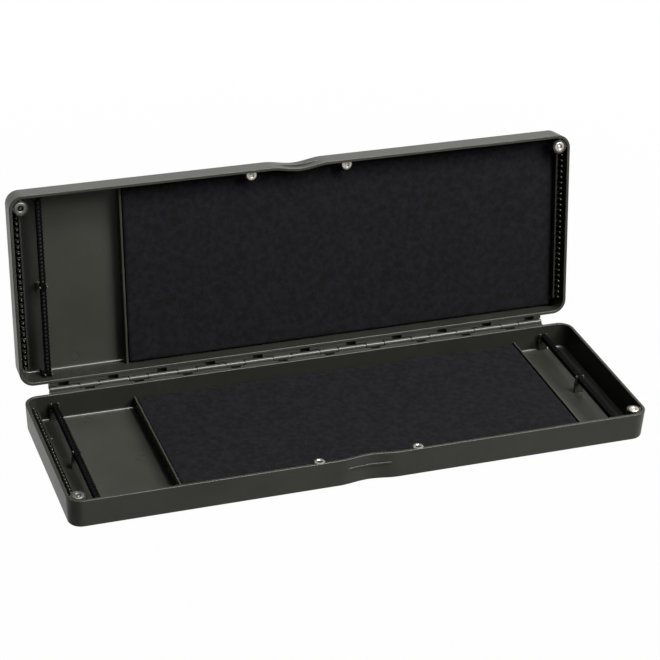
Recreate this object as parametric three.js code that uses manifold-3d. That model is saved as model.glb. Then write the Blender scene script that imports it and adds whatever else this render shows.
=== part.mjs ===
// Fishing rig box in millimetres, +Z up. Two shallow moulded trays are hinged along their long rear edges
// and stand open, as in use. Hooklinks lie stretched from the combs and pin rails at the ends over the
// foam pads. The origin is the centre of the base's underside, +X runs along the box and +Y to the hinge.
import * as THREE from 'three';
import { mergeVertices } from 'three/addons/utils/BufferGeometryUtils.js';
import Module from 'manifold-3d';

const wasm = await Module();
wasm.setup();

// Trays: sizes at the rim, which is the widest place, because the walls have draft
const BOX_LENGTH = 365;
const BOX_WIDTH = 122;
const BASE_DEPTH = 18.5;
const LID_DEPTH = 17;
const WALL = 2;
const FLOOR = 2;
const DRAFT = THREE.MathUtils.degToRad(3);
const CORNER_RADIUS = 9;
const OUTER_FILLET = 1.5;
const INNER_FILLET = 1.2;
const CORNER_STEPS = 6;
const FILLET_STEPS = 2;

// Gap between the closed rims, clearance between pieces that fit together, and how far cuts run on
const RIM_GAP = 0.3;
const CLEARANCE = 0.3;
const OVERRUN = 0.6;

// Thumb notch at the middle of both front walls, with a crescent ledge to push on
const NOTCH_HALF_LENGTH = 19;
const NOTCH_DEPTH = 2.2;
const NOTCH_STEPS = 12;
const LEDGE_HALF_LENGTH = 15;
const LEDGE_PROUD = 0.9;
const LEDGE_THICKNESS = 1.2;
const LEDGE_BELOW_RIM = 6.5;
const LEDGE_STEPS = 8;

// Hinge: knuckles take turns along one pin, each on an arm from its own tray. They are set out from the
// left end, and the last one is cut short at the right end. Each tray has a flange along them, with a
// backing strip behind it that reaches past the pin
const OPEN_ANGLE = THREE.MathUtils.degToRad(98);
const PIN_OFFSET = 4.1;
const PIN_RADIUS = 1;
const PIN_SIDES = 12;
const KNUCKLE_RADIUS = 2.3;
const KNUCKLE_SIDES = 12;
const HINGE_FROM_END = 17.8;
const BASE_KNUCKLE_LENGTH = 18.3;
const LID_KNUCKLE_LENGTH = 11.8;
const KNUCKLE_END_GAP = 0.6;
const KNUCKLE_CLEARANCE = 0.4;
const ARM_BELOW_RIM = 1.1;
const BACKING_THICKNESS = 1;
const BACKING_PAST_PIN = 0.3;
const WINDOW_LENGTH = 5.5;

// Dividers that bound the foam bays, set out from the box's ends to their middles
const DIVIDER_THICKNESS = 1.5;
const DIVIDER_BELOW_RIM = 9;
const LEFT_BAY_LENGTH = 69.9;
const RIGHT_BAY_LENGTH = 38.9;

// Foam pads
const FOAM_THICKNESS = 6.2;
const FOAM_CLEARANCE = 0.6;

// Combs along the end walls: a spine, and beyond it a row of taller pegs, each on a web from the spine
const COMB_FROM_END = 6.9;
const COMB_SPINE_THICKNESS = 1.2;
const COMB_BELOW_RIM = 4.6;
const COMB_FOOT_THICKNESS = 1.5;
const COMB_PITCH = 3.75;
const COMB_FROM_BOSS = 1;
const COMB_FROM_REAR = 9;
const WEB_THICKNESS = 1.2;
const WEB_BELOW_SPINE = 0.8;
const PEG_REACH = 2.4;
const PEG_RADIUS = 0.85;
const PEG_BELOW_RIM = 1.9;
const PEG_SIDES = 6;
const PEG_TIP_STEPS = 1;
const CLIP_Y = 18;
const CLIP_LENGTH = 2.4;
const CLIP_PROUD = 0.9;
const CLIP_HEIGHT = 1.6;

// Pin rails, held in forked posts at both ends and at the middle
const RAIL_FROM_END = 19;
const RAIL_HALF_WIDTH = 1.9;
const RAIL_NECK_HALF_WIDTH = 1.5;
const RAIL_THICKNESS = 3.2;
const RAIL_BELOW_RIM = 5.3;
const RAIL_END_GAP = 0.6;
const RAIL_PITCH = 2.5;
const RAIL_HOLE_RADIUS = 0.75;
const RAIL_HOLE_SIDES = 6;
const POST_WIDTH = 6.2;
const POST_THICKNESS = 1.8;
const END_POST_INSET = 4;
const PRONG_RADIUS = 0.8;
const PRONG_SPREAD = 2.2;
const PRONG_BELOW_RIM = 4.4;
const PRONG_SIDES = 8;
const PRONG_TIP_STEPS = 2;

// Magnets in round bosses at the front corners and on the front wall
const MAGNET_BELOW_RIM = 0.3;
const CORNER_MAGNET_FROM_END = 7.2;
const CORNER_MAGNET_FROM_FRONT = 7.9;
const CORNER_MAGNET_RADIUS = 3.2;
const CORNER_MAGNET_HEIGHT = 3;
const CORNER_BOSS_RADIUS = 4.5;
const CORNER_WEB_THICKNESS = 1.4;
const FRONT_MAGNET_X = 31;
const FRONT_MAGNET_FROM_FRONT = 3.8;
const FRONT_MAGNET_RADIUS = 2.3;
const FRONT_MAGNET_HEIGHT = 3;
const FRONT_BOSS_RADIUS = 3.4;
const MAGNET_GAP = 0.3;
const BOSS_BELOW_RIM = 0.4;
const BOSS_SIDES = 16;

// Corners of a mesh that lie closer than this are one corner
const WELD = 0.0001;

// A tray's depths are measured from its rim: the base's floor lies below its rim, the closed lid's above
const base = { rim: BASE_DEPTH, out: -1, depth: BASE_DEPTH };
const lid = { rim: BASE_DEPTH + RIM_GAP, out: 1, depth: LID_DEPTH };
const height = (tray, depth) => tray.rim + tray.out * depth;
const drawnIn = (depth) => depth * Math.tan(DRAFT);

const HINGE_Y = BOX_WIDTH / 2 + PIN_OFFSET;
const HINGE_Z = BASE_DEPTH + RIM_GAP / 2;
const BORE_RADIUS = PIN_RADIUS + CLEARANCE;
const HINGE_HALF_LENGTH = BOX_LENGTH / 2 - HINGE_FROM_END;
const HINGE_PITCH = BASE_KNUCKLE_LENGTH + LID_KNUCKLE_LENGTH + 2 * KNUCKLE_END_GAP;
const HINGE_TURNS = Math.round((2 * HINGE_HALF_LENGTH - BASE_KNUCKLE_LENGTH) / HINGE_PITCH);
const KNUCKLE_ROOM = KNUCKLE_RADIUS + KNUCKLE_CLEARANCE;
const BACKING_BELOW_RIM = KNUCKLE_ROOM - RIM_GAP / 2;
const LEFT_DIVIDER_X = LEFT_BAY_LENGTH - BOX_LENGTH / 2;
const RIGHT_DIVIDER_X = BOX_LENGTH / 2 - RIGHT_BAY_LENGTH;
const RAIL_X = BOX_LENGTH / 2 - RAIL_FROM_END;
const END_POST_Y = BOX_WIDTH / 2 - END_POST_INSET;
const CORNER_MAGNET_X = BOX_LENGTH / 2 - CORNER_MAGNET_FROM_END;
const CORNER_MAGNET_Y = CORNER_MAGNET_FROM_FRONT - BOX_WIDTH / 2;
const FRONT_MAGNET_Y = FRONT_MAGNET_FROM_FRONT - BOX_WIDTH / 2;
const COMB_X = BOX_LENGTH / 2 - COMB_FROM_END;
const COMB_FRONT_Y = CORNER_MAGNET_Y + CORNER_BOSS_RADIUS + COMB_FROM_BOSS;
const COMB_REAR_Y = BOX_WIDTH / 2 - COMB_FROM_REAR;

const trayPlastic = new THREE.MeshStandardMaterial({ color: 0x45463f, roughness: 0.5, metalness: 0 });
const foamRubber = new THREE.MeshStandardMaterial({ color: 0x1d1d21, roughness: 0.95, metalness: 0 });
const railPlastic = new THREE.MeshStandardMaterial({ color: 0x0e0e0f, roughness: 0.5, metalness: 0 });
const nickel = new THREE.MeshStandardMaterial({ color: 0xb9b7ae, roughness: 0.25, metalness: 1 });
const steel = new THREE.MeshStandardMaterial({ color: 0x8f9092, roughness: 0.3, metalness: 1 });

// Solids and meshes

function solid(geometry) {
  const bare = new THREE.BufferGeometry();
  bare.setAttribute('position', geometry.getAttribute('position').clone());
  if (geometry.getIndex()) bare.setIndex(geometry.getIndex().clone());
  const welded = mergeVertices(bare, WELD);
  const vertProperties = new Float32Array(welded.getAttribute('position').array);
  const triVerts = new Uint32Array(welded.getIndex().array);
  return new wasm.Manifold(new wasm.Mesh({ numProp: 3, vertProperties, triVerts }));
}

function named(name, shape, material) {
  const { vertProperties, triVerts } = shape.getMesh();
  const geometry = new THREE.BufferGeometry();
  geometry.setAttribute('position', new THREE.BufferAttribute(new Float32Array(vertProperties), 3));
  geometry.setIndex(new THREE.BufferAttribute(new Uint32Array(triVerts), 1));
  geometry.computeVertexNormals();
  const mesh = new THREE.Mesh(geometry, material);
  mesh.name = name;
  return mesh;
}

const joined = (shapes) => shapes.reduce((whole, shape) => whole.add(shape));
const cutBy = (shape, cutters) => cutters.reduce((whole, cutter) => whole.subtract(cutter), shape);

// A block between two corners, given in any order
function block(a, b) {
  const size = new THREE.Vector3(Math.abs(b[0] - a[0]), Math.abs(b[1] - a[1]), Math.abs(b[2] - a[2]));
  const geometry = new THREE.BoxGeometry(size.x, size.y, size.z);
  return solid(geometry.translate((a[0] + b[0]) / 2, (a[1] + b[1]) / 2, (a[2] + b[2]) / 2));
}

// An upright round bar between two heights
function bar(radius, sides, x, y, z0, z1) {
  const geometry = new THREE.CylinderGeometry(radius, radius, Math.abs(z1 - z0), sides);
  return solid(geometry.rotateX(Math.PI / 2).translate(x, y, (z0 + z1) / 2));
}

// A round bar along the hinge axis
function axisBar(radius, sides, x0, x1) {
  const geometry = new THREE.CylinderGeometry(radius, radius, x1 - x0, sides);
  return solid(geometry.rotateZ(Math.PI / 2).translate((x0 + x1) / 2, HINGE_Y, HINGE_Z));
}

// A plan outline pushed up between two heights
function slab(points, z0, z1) {
  const shape = new THREE.Shape(points.map(([x, y]) => new THREE.Vector2(x, y)));
  const geometry = new THREE.ExtrudeGeometry(shape, { depth: Math.abs(z1 - z0), bevelEnabled: false });
  return solid(geometry.translate(0, 0, Math.min(z0, z1)));
}

// Tray shells

// How far the front wall bows in at x
function bow(x) {
  if (Math.abs(x) >= NOTCH_HALF_LENGTH) return 0;
  return (NOTCH_DEPTH * (1 + Math.cos((Math.PI * x) / NOTCH_HALF_LENGTH))) / 2;
}

// The front wall's line at an inset from the rim's outer edge, from x0 to x1, with the notch's points
function frontLine(inset, x0, x1) {
  const y = -(BOX_WIDTH / 2 - inset);
  const points = [[x0, y]];
  for (let i = 0; i <= NOTCH_STEPS; i += 1) {
    const x = NOTCH_HALF_LENGTH * ((2 * i) / NOTCH_STEPS - 1);
    points.push([x, y + bow(x)]);
  }
  points.push([x1, y]);
  return points;
}

// The tray's plan outline at an inset from the rim's outer edge, counter-clockwise
function outline(inset) {
  const radius = CORNER_RADIUS - inset;
  const cx = BOX_LENGTH / 2 - inset - radius;
  const cy = BOX_WIDTH / 2 - inset - radius;
  const points = frontLine(inset, -cx, cx);
  [[cx, -cy], [cx, cy], [-cx, cy], [-cx, -cy]].forEach(([x, y], corner) => {
    const last = corner === 3 ? CORNER_STEPS - 1 : CORNER_STEPS;
    for (let i = corner === 0 ? 1 : 0; i <= last; i += 1) {
      const angle = (corner - 1 + i / CORNER_STEPS) * (Math.PI / 2);
      points.push([x + radius * Math.cos(angle), y + radius * Math.sin(angle)]);
    }
  });
  return points;
}

// A closed solid through rings of equal numbers of points, the lowest first
function loft(rings) {
  const count = rings[0].points.length;
  const positions = rings.flatMap(({ z, points }) => points.flatMap(([x, y]) => [x, y, z]));
  const low = rings.length * count;
  positions.push(0, 0, rings[0].z, 0, 0, rings[rings.length - 1].z);
  const index = [];
  for (let i = 0; i < count; i += 1) {
    const next = (i + 1) % count;
    for (let ring = 0; ring < rings.length - 1; ring += 1) {
      const a = ring * count;
      const b = a + count;
      index.push(a + i, a + next, b + next, a + i, b + next, b + i);
    }
    const top = (rings.length - 1) * count;
    index.push(low, next, i, low + 1, top + i, top + next);
  }
  const geometry = new THREE.BufferGeometry();
  geometry.setAttribute('position', new THREE.Float32BufferAttribute(positions, 3));
  geometry.setIndex(index);
  return solid(geometry);
}

// One skin of a tray, from its flat face up a fillet to the rim: the outer face, or the cavity
function skin(tray, inset, flatDepth, fillet, endDepth) {
  const rings = [{ z: height(tray, endDepth), points: outline(inset + drawnIn(endDepth)) }];
  for (let i = FILLET_STEPS; i >= 0; i -= 1) {
    const angle = ((i / FILLET_STEPS) * Math.PI) / 2;
    const drawn = inset + drawnIn(flatDepth - fillet) + fillet * (1 - Math.sin(angle));
    const z = height(tray, flatDepth - fillet * (1 - Math.cos(angle)));
    rings.push({ z, points: outline(drawn) });
  }
  return loft(rings.sort((a, b) => a.z - b.z));
}

const outerSkin = (tray) => skin(tray, 0, tray.depth, OUTER_FILLET, 0);
const cavity = (tray) => skin(tray, WALL, tray.depth - FLOOR, INNER_FILLET, -OVERRUN);

// Fittings moulded into a tray

const inFloor = (tray) => height(tray, tray.depth - FLOOR / 2);

function divider(tray, x) {
  const half = DIVIDER_THICKNESS / 2;
  const reach = BOX_WIDTH / 2 - WALL / 2 - drawnIn(DIVIDER_BELOW_RIM);
  return block([x - half, -reach, inFloor(tray)], [x + half, reach, height(tray, DIVIDER_BELOW_RIM)]);
}

// A crescent ledge across the notch, on the outside of the front wall
function ledge(tray) {
  const inset = drawnIn(LEDGE_BELOW_RIM + LEDGE_THICKNESS);
  const points = [];
  for (let i = 0; i <= LEDGE_STEPS; i += 1) {
    const x = LEDGE_HALF_LENGTH * ((2 * i) / LEDGE_STEPS - 1);
    const proud = LEDGE_PROUD * Math.cos((Math.PI * x) / (2 * LEDGE_HALF_LENGTH));
    points.push([x, -(BOX_WIDTH / 2 - inset) + bow(x) - proud]);
  }
  const back = -(BOX_WIDTH / 2 - inset) + WALL / 2 + NOTCH_DEPTH;
  points.push([LEDGE_HALF_LENGTH, back], [-LEDGE_HALF_LENGTH, back]);
  return slab(points, height(tray, LEDGE_BELOW_RIM), height(tray, LEDGE_BELOW_RIM + LEDGE_THICKNESS));
}

// An upright round peg between two depths, with a domed or pointed tip at the lesser one
function peg(tray, x, y, radius, sides, tipSteps, footDepth, tipDepth) {
  const length = footDepth - tipDepth;
  const profile = [new THREE.Vector2(0, 0), new THREE.Vector2(radius, 0)];
  for (let i = 0; i <= tipSteps; i += 1) {
    const angle = ((i / tipSteps) * Math.PI) / 2;
    const r = i === tipSteps ? 0 : radius * Math.cos(angle);
    profile.push(new THREE.Vector2(r, length - radius * (1 - Math.sin(angle))));
  }
  const geometry = new THREE.LatheGeometry(profile, sides);
  return solid(geometry.rotateX((-tray.out * Math.PI) / 2).translate(x, y, height(tray, footDepth)));
}

function prong(tray, x, y) {
  const foot = RAIL_BELOW_RIM + RAIL_THICKNESS + CLEARANCE + OVERRUN;
  return peg(tray, x, y, PRONG_RADIUS, PRONG_SIDES, PRONG_TIP_STEPS, foot, PRONG_BELOW_RIM);
}

// A forked post: a plate with two round-tipped prongs that straddle a pin rail
function post(tray, x, y) {
  const half = POST_WIDTH / 2;
  const seat = height(tray, RAIL_BELOW_RIM + RAIL_THICKNESS + CLEARANCE);
  const wallSide = y === 0 ? POST_THICKNESS / 2 : END_POST_Y + POST_THICKNESS / 2 + WALL / 2;
  const innerSide = y === 0 ? -POST_THICKNESS / 2 : END_POST_Y - POST_THICKNESS / 2;
  const side = y < 0 ? -1 : 1;
  const plate = block([x - half, side * innerSide, inFloor(tray)], [x + half, side * wallSide, seat]);
  return joined([plate, prong(tray, x - PRONG_SPREAD, y), prong(tray, x + PRONG_SPREAD, y)]);
}

const posts = (tray, x) => [-END_POST_Y, 0, END_POST_Y].map((y) => post(tray, x, y));

function cornerBoss(tray, side) {
  const x = side * CORNER_MAGNET_X;
  const top = height(tray, BOSS_BELOW_RIM);
  const half = CORNER_WEB_THICKNESS / 2;
  const wallX = side * (BOX_LENGTH / 2 - WALL / 2 - drawnIn(tray.depth));
  const wallY = -(BOX_WIDTH / 2 - WALL / 2 - drawnIn(tray.depth));
  return joined([
    bar(CORNER_BOSS_RADIUS, BOSS_SIDES, x, CORNER_MAGNET_Y, inFloor(tray), top),
    block([x, CORNER_MAGNET_Y - half, inFloor(tray)], [wallX, CORNER_MAGNET_Y + half, top]),
    block([x - half, CORNER_MAGNET_Y, inFloor(tray)], [x + half, wallY, top]),
  ]);
}

function frontBoss(tray, side) {
  const x = side * FRONT_MAGNET_X;
  return bar(FRONT_BOSS_RADIUS, BOSS_SIDES, x, FRONT_MAGNET_Y, inFloor(tray), height(tray, BOSS_BELOW_RIM));
}

function pocket(tray, x, y, radius, depth) {
  return bar(radius, BOSS_SIDES, x, y, height(tray, -OVERRUN), height(tray, depth));
}

function magnetPockets(tray, side) {
  const cornerDepth = MAGNET_BELOW_RIM + CORNER_MAGNET_HEIGHT + MAGNET_GAP;
  const frontDepth = MAGNET_BELOW_RIM + FRONT_MAGNET_HEIGHT + MAGNET_GAP;
  const cornerRadius = CORNER_MAGNET_RADIUS + MAGNET_GAP;
  const frontRadius = FRONT_MAGNET_RADIUS + MAGNET_GAP;
  return [
    pocket(tray, side * CORNER_MAGNET_X, CORNER_MAGNET_Y, cornerRadius, cornerDepth),
    pocket(tray, side * FRONT_MAGNET_X, FRONT_MAGNET_Y, frontRadius, frontDepth),
  ];
}

// Hinge

// The ends of each knuckle on one tray, along the box
function knuckleSpans(tray) {
  const start = -HINGE_HALF_LENGTH;
  if (tray === lid) {
    return Array.from({ length: HINGE_TURNS }, (_, i) => {
      const x = start + i * HINGE_PITCH + BASE_KNUCKLE_LENGTH + KNUCKLE_END_GAP;
      return [x, x + LID_KNUCKLE_LENGTH];
    });
  }
  return Array.from({ length: HINGE_TURNS + 1 }, (_, i) => {
    const x = start + i * HINGE_PITCH;
    return [x, Math.min(x + BASE_KNUCKLE_LENGTH, HINGE_HALF_LENGTH)];
  });
}

function knuckle(tray, [x0, x1]) {
  const inWall = BOX_WIDTH / 2 - WALL / 2;
  const near = height(tray, ARM_BELOW_RIM);
  const far = height(tray, BACKING_BELOW_RIM);
  return block([x0, inWall, near], [x1, HINGE_Y, far]).add(axisBar(KNUCKLE_RADIUS, KNUCKLE_SIDES, x0, x1));
}

// A narrow flange along the rear wall, with a window behind each knuckle of the other tray, and the strip
// that backs it and closes the windows
function flange(tray) {
  const inWall = BOX_WIDTH / 2 - WALL / 2;
  const edge = HINGE_Y - KNUCKLE_ROOM;
  const near = height(tray, ARM_BELOW_RIM);
  const far = height(tray, BACKING_BELOW_RIM);
  const strip = block([-HINGE_HALF_LENGTH, inWall, near], [HINGE_HALF_LENGTH, edge, far]);
  const windows = knuckleSpans(tray === base ? lid : base).map(([x0, x1]) => block(
    [(x0 + x1 - WINDOW_LENGTH) / 2, BOX_WIDTH / 2, height(tray, ARM_BELOW_RIM - OVERRUN)],
    [(x0 + x1 + WINDOW_LENGTH) / 2, edge + OVERRUN, height(tray, BACKING_BELOW_RIM + OVERRUN)],
  ));
  const backing = block(
    [-HINGE_HALF_LENGTH, inWall, far],
    [HINGE_HALF_LENGTH, HINGE_Y + BACKING_PAST_PIN, height(tray, BACKING_BELOW_RIM + BACKING_THICKNESS)],
  );
  return cutBy(strip, windows).add(backing);
}

const pinBore = () => axisBar(BORE_RADIUS, PIN_SIDES, -BOX_LENGTH / 2, BOX_LENGTH / 2);

function trayBody(tray, fittings) {
  const shell = outerSkin(tray).subtract(cavity(tray));
  const inside = joined(fittings).intersect(outerSkin(tray));
  const outside = [ledge(tray), flange(tray), ...knuckleSpans(tray).map((span) => knuckle(tray, span))];
  const whole = joined([shell, inside, ...outside]);
  return cutBy(whole, [pinBore(), ...magnetPockets(tray, -1), ...magnetPockets(tray, 1)]);
}

function bosses(tray) {
  return [-1, 1].flatMap((side) => [cornerBoss(tray, side), frontBoss(tray, side)]);
}

// Foam pads

// A pad between two x places, on the tray's floor, cut round the bosses and the notch
function foamPad(tray, x0, x1) {
  const inset = WALL + drawnIn(tray.depth) + FOAM_CLEARANCE;
  const rear = BOX_WIDTH / 2 - inset;
  const near = tray.depth - FLOOR - CLEARANCE;
  const pad = slab(
    [...frontLine(inset, x0, x1), [x1, rear], [x0, rear]],
    height(tray, near),
    height(tray, near - FOAM_THICKNESS),
  );
  const z0 = height(tray, tray.depth);
  const z1 = height(tray, 0);
  const cut = (x, y, radius) => bar(radius + FOAM_CLEARANCE, BOSS_SIDES, x, y, z0, z1);
  return cutBy(pad, [
    cut(-FRONT_MAGNET_X, FRONT_MAGNET_Y, FRONT_BOSS_RADIUS),
    cut(FRONT_MAGNET_X, FRONT_MAGNET_Y, FRONT_BOSS_RADIUS),
    cut(CORNER_MAGNET_X, CORNER_MAGNET_Y, CORNER_BOSS_RADIUS),
  ]);
}

// Combs

function comb(tray, side, extras = []) {
  const half = COMB_SPINE_THICKNESS / 2;
  const footDepth = tray.depth - FLOOR - CLEARANCE;
  const foot = height(tray, footDepth);
  const footTop = height(tray, footDepth - COMB_FOOT_THICKNESS);
  const spineX = side * COMB_X;
  const pegX = side * (COMB_X + PEG_REACH);
  const spineTop = height(tray, COMB_BELOW_RIM);
  const webTop = height(tray, COMB_BELOW_RIM + WEB_BELOW_SPINE);
  const parts = [
    block([spineX - half, COMB_FRONT_Y, foot], [spineX + half, COMB_REAR_Y, spineTop]),
    block([spineX, COMB_FRONT_Y, foot], [pegX + side * PEG_RADIUS, COMB_REAR_Y, footTop]),
    ...extras,
  ];
  const count = 1 + Math.floor((COMB_REAR_Y - COMB_FRONT_Y - 2 * PEG_RADIUS) / COMB_PITCH);
  for (let i = 0; i < count; i += 1) {
    const y = COMB_FRONT_Y + PEG_RADIUS + i * COMB_PITCH;
    parts.push(
      block([spineX, y - WEB_THICKNESS / 2, foot], [pegX, y + WEB_THICKNESS / 2, webTop]),
      peg(tray, pegX, y, PEG_RADIUS, PEG_SIDES, PEG_TIP_STEPS, footDepth, PEG_BELOW_RIM),
    );
  }
  return joined(parts);
}

// A small clip on the inner side of a comb's spine
function clip(tray, side) {
  const inner = side * (COMB_X - COMB_SPINE_THICKNESS / 2 - CLIP_PROUD);
  return block(
    [inner, CLIP_Y - CLIP_LENGTH / 2, height(tray, COMB_BELOW_RIM)],
    [side * COMB_X, CLIP_Y + CLIP_LENGTH / 2, height(tray, COMB_BELOW_RIM + CLIP_HEIGHT)],
  );
}

// Pin rails: a strip of joined rings, necked between the holes, cut for the prongs and blind at the
// middle

function rail(tray, x) {
  const end = BOX_WIDTH / 2 - WALL - drawnIn(RAIL_BELOW_RIM + RAIL_THICKNESS) - RAIL_END_GAP;
  const rings = Math.floor((2 * (end - RAIL_PITCH)) / RAIL_PITCH);
  const first = (-(rings - 1) / 2) * RAIL_PITCH;
  const right = [[RAIL_NECK_HALF_WIDTH, -end]];
  for (let i = 0; i < rings; i += 1) {
    const y = first + i * RAIL_PITCH;
    right.push([RAIL_NECK_HALF_WIDTH, y - RAIL_PITCH / 2], [RAIL_HALF_WIDTH, y]);
  }
  right.push([RAIL_NECK_HALF_WIDTH, (rings / 2) * RAIL_PITCH], [RAIL_NECK_HALF_WIDTH, end]);
  const left = right.map(([px, py]) => [-px, py]).reverse();
  const shape = new THREE.Shape([...right, ...left].map(([px, py]) => new THREE.Vector2(px, py)));
  for (let i = 0; i < rings; i += 1) {
    const y = first + i * RAIL_PITCH;
    if (Math.abs(y) < RAIL_PITCH) continue;
    const hole = new THREE.Path();
    for (let k = 0; k < RAIL_HOLE_SIDES; k += 1) {
      const angle = (-k / RAIL_HOLE_SIDES) * 2 * Math.PI;
      const px = RAIL_HOLE_RADIUS * Math.cos(angle);
      const py = y + RAIL_HOLE_RADIUS * Math.sin(angle);
      if (k === 0) hole.moveTo(px, py);
      else hole.lineTo(px, py);
    }
    hole.closePath();
    shape.holes.push(hole);
  }
  const z0 = height(tray, RAIL_BELOW_RIM);
  const z1 = height(tray, RAIL_BELOW_RIM + RAIL_THICKNESS);
  const geometry = new THREE.ExtrudeGeometry(shape, { depth: RAIL_THICKNESS, bevelEnabled: false });
  const strip = solid(geometry.translate(x, 0, Math.min(z0, z1)));
  const cutRadius = PRONG_RADIUS + CLEARANCE;
  const cuts = [-END_POST_Y, 0, END_POST_Y].flatMap((y) => [-PRONG_SPREAD, PRONG_SPREAD].map(
    (dx) => bar(cutRadius, PRONG_SIDES, x + dx, y, height(tray, 0), height(tray, tray.depth)),
  ));
  return cutBy(strip, cuts);
}

// Magnets

function magnet(tray, x, y, radius, thickness) {
  const z0 = height(tray, MAGNET_BELOW_RIM);
  return bar(radius, BOSS_SIDES, x, y, z0, height(tray, MAGNET_BELOW_RIM + thickness));
}

function magnets(tray, prefix) {
  return [['left', -1], ['right', 1]].flatMap(([word, side]) => [
    named(
      `${prefix}_${word}_corner_magnet`,
      magnet(tray, side * CORNER_MAGNET_X, CORNER_MAGNET_Y, CORNER_MAGNET_RADIUS, CORNER_MAGNET_HEIGHT),
      nickel,
    ),
    named(
      `${prefix}_${word}_front_magnet`,
      magnet(tray, side * FRONT_MAGNET_X, FRONT_MAGNET_Y, FRONT_MAGNET_RADIUS, FRONT_MAGNET_HEIGHT),
      nickel,
    ),
  ]);
}

// Assembly

const padLeft = LEFT_DIVIDER_X + DIVIDER_THICKNESS / 2 + CLEARANCE;
const basePadRight = RIGHT_DIVIDER_X - DIVIDER_THICKNESS / 2 - CLEARANCE;
const lidPadRight = COMB_X - COMB_SPINE_THICKNESS / 2 - CLEARANCE;

const baseFittings = [
  divider(base, LEFT_DIVIDER_X),
  divider(base, RIGHT_DIVIDER_X),
  ...posts(base, -RAIL_X),
  ...posts(base, RAIL_X),
  ...bosses(base),
];
const lidFittings = [divider(lid, LEFT_DIVIDER_X), ...posts(lid, -RAIL_X), ...bosses(lid)];

const baseGroup = new THREE.Group();
baseGroup.add(
  named('base_tray', trayBody(base, baseFittings), trayPlastic),
  named('hinge_pin', axisBar(PIN_RADIUS, PIN_SIDES, -HINGE_HALF_LENGTH, HINGE_HALF_LENGTH), steel),
  named('base_foam_pad', foamPad(base, padLeft, basePadRight), foamRubber),
  named('base_left_comb', comb(base, -1, [clip(base, -1)]), trayPlastic),
  named('base_left_pin_rail', rail(base, -RAIL_X), railPlastic),
  named('base_right_pin_rail', rail(base, RAIL_X), railPlastic),
  ...magnets(base, 'base'),
);

const lidParts = [
  named('lid_tray', trayBody(lid, lidFittings), trayPlastic),
  named('lid_foam_pad', foamPad(lid, padLeft, lidPadRight), foamRubber),
  named('lid_left_comb', comb(lid, -1), trayPlastic),
  named('lid_right_comb', comb(lid, 1), trayPlastic),
  named('lid_left_pin_rail', rail(lid, -RAIL_X), railPlastic),
  ...magnets(lid, 'lid'),
];

// The lid's pieces are made as if closed, and the group turns them open about the pin
const lidGroup = new THREE.Group();
lidGroup.position.set(0, HINGE_Y, HINGE_Z);
lidGroup.rotation.x = -OPEN_ANGLE;
lidParts.forEach((part) => {
  part.position.set(0, -HINGE_Y, -HINGE_Z);
  lidGroup.add(part);
});

const rigBox = new THREE.Group();
rigBox.add(baseGroup, lidGroup);

export default rigBox;
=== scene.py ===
import math
from itertools import product

import bmesh
import bpy
from mathutils import Matrix, Vector, noise


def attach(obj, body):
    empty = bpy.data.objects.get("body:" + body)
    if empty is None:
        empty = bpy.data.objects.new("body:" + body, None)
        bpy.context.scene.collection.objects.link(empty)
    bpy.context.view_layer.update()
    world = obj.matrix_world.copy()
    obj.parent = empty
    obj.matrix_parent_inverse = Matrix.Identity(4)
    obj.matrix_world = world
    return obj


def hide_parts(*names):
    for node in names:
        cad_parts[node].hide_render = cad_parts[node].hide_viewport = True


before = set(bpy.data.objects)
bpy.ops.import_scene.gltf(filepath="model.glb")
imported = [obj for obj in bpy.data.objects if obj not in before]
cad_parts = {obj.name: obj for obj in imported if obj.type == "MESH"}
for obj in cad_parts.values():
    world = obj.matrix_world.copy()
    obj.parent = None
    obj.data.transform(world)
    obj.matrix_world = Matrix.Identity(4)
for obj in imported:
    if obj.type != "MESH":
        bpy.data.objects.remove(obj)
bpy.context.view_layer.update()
scene = bpy.context.scene
scene.view_settings.view_transform = "Standard"

# Tray shells: each half of the box is one injection moulding in satin olive-grey plastic, with drafted
# walls, rolled rims and a shallow thumb notch at the middle of its front wall. The wall's section is swept
# round the rim, and the floor closes it.
MM = 0.001
TRAY_LENGTH = 365 * MM
TRAY_WIDTH = 122 * MM
HALF_LENGTH = TRAY_LENGTH / 2
HALF_WIDTH = TRAY_WIDTH / 2
CORNER_RADIUS = 9 * MM
CORNER_STEPS = 14
NOTCH_HALF_LENGTH = 19 * MM
NOTCH_DEPTH = 2.2 * MM
NOTCH_STEPS = 36
WALL = 2 * MM
FLOOR = 2 * MM
DRAFT = math.radians(3)
RIM_GAP = 0.3 * MM
FILLET_STEPS = 4
WELD = 0.002 * MM


class Tray:
    """One half of the box, with the lid lying closed over the base."""

    def __init__(self, body, rim, depth, up):
        self.body, self.rim, self.depth, self.up = body, rim, depth, up

    def level(self, depth):
        """The height of a depth below this tray's own rim."""
        return self.rim - self.up * depth


base = Tray("base", 18.5 * MM, 18.5 * MM, 1)
lid = Tray("lid", base.rim + RIM_GAP, 17 * MM, -1)


def drawn_in(depth):
    """How far the draft has drawn a wall in at a depth below its rim."""
    return depth * math.tan(DRAFT)


def notch_bow(x):
    """How far the front wall bows in at x."""
    if abs(x) >= NOTCH_HALF_LENGTH:
        return 0
    return NOTCH_DEPTH * (1 + math.cos(math.pi * x / NOTCH_HALF_LENGTH)) / 2


def front_line(inset, start, end):
    """The front wall's line between two ends, with the notch, at an inset from the rim's outer edge."""
    y = inset - HALF_WIDTH
    line = [(start, y)]
    for step in range(NOTCH_STEPS + 1):
        x = NOTCH_HALF_LENGTH * (2 * step / NOTCH_STEPS - 1)
        line.append((x, y + notch_bow(x)))
    return line + [(end, y)]


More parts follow.
